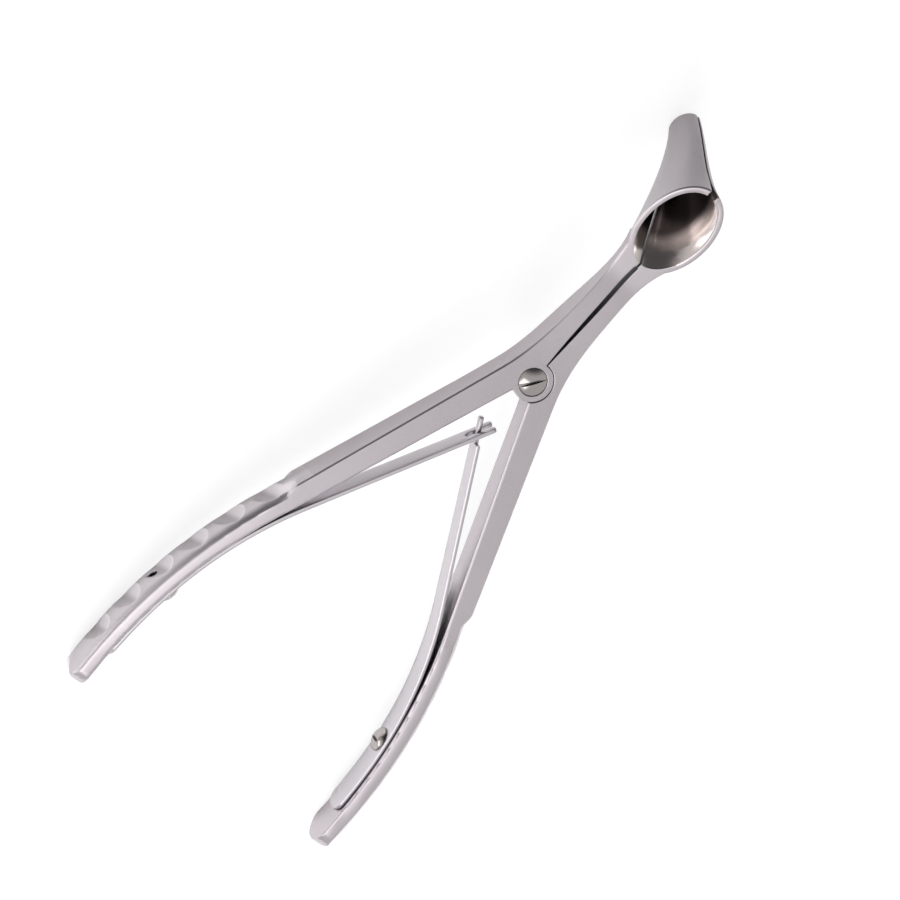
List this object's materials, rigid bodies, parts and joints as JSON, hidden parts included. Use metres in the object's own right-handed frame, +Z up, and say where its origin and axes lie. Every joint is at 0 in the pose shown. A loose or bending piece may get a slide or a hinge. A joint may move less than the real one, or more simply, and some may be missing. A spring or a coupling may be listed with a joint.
{
  "type": "nasal speculum",
  "caption": "Hand-held nasal speculum: sprung plier handles with scalloped grips, lap joint on a slotted screw, and a split oval funnel that opens as the handles are squeezed.",
  "frame": {"origin": "on the surface it lies on, below the middle of the whole instrument's box", "axes": "+X along the instrument towards the funnel, +Y towards the left arm, +Z up from the surface, front face up"},
  "size_m": [0.1674, 0.0708, 0.0355],
  "materials": {
    "satin_steel": "satin stainless steel",
    "spring_steel": "fine brushed stainless spring steel",
    "polished_steel": "polished stainless steel"
  },
  "bodies": {
    "left_half": {"left_arm": "satin_steel", "left_spring": "spring_steel", "left_spring_screw": "polished_steel"},
    "right_half": {"right_arm": "satin_steel", "pivot_screw": "polished_steel", "right_spring": "spring_steel", "right_spring_screw": "polished_steel"}
  },
  "joints": [
    {"name": "squeeze", "type": "hinge", "parent": "left_half", "child": "right_half", "pos_m": [0.01962, 0, 0.01863], "axis": [0.1284, 0, -0.9917], "range_deg": [0, 22], "stiffness_Nm_per_rad": 1, "springref_deg": -8.59, "deforming": ["left_spring", "right_spring"]}
  ]
}
